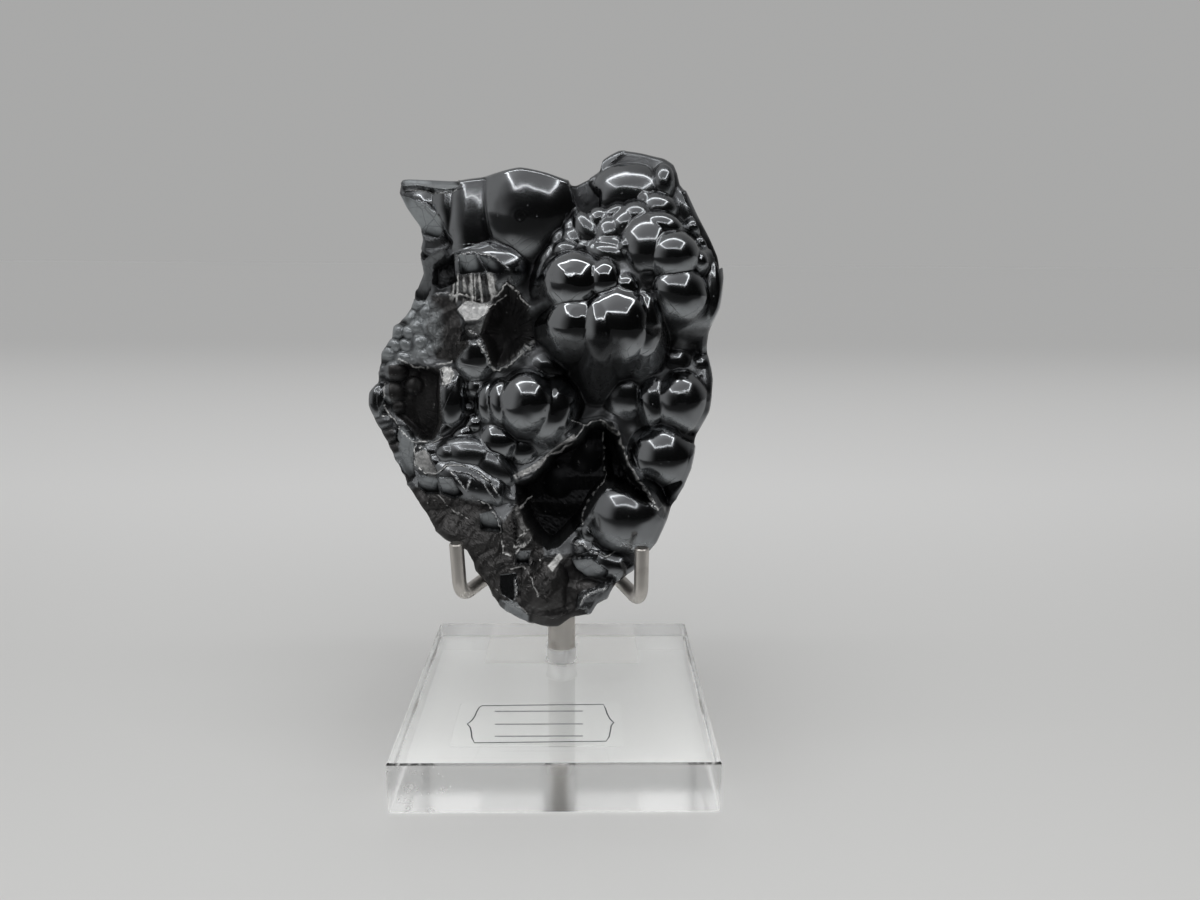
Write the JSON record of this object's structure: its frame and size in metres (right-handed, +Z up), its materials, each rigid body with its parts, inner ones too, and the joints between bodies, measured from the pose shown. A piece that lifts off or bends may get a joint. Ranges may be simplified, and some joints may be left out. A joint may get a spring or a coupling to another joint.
{
  "type": "botryoidal hematite specimen on a display stand",
  "caption": "Botryoidal hematite specimen resting on a clear acrylic block stand with a steel post and bent wire arms.",
  "frame": {"origin": "middle of the acrylic block's underside, where the stand rests", "axes": "+Z up, +X to the right as seen by the viewer, who looks along +Y at the lobed face; the stone leans back by 12.8 degrees"},
  "size_m": [0.0843, 0.0762, 0.1492],
  "materials": {
    "hematite": "glassy black metallic skin with broken silvery faces",
    "clear_acrylic": "clear, polished",
    "brushed_steel": "brushed, warm grey",
    "label_film": "clear film"
  },
  "bodies": {
    "root": {"hematite": "hematite", "acrylic_base": "clear_acrylic", "post": "brushed_steel", "left_prong": "brushed_steel", "right_prong": "brushed_steel", "label": "label_film"}
  },
  "joints": []
}
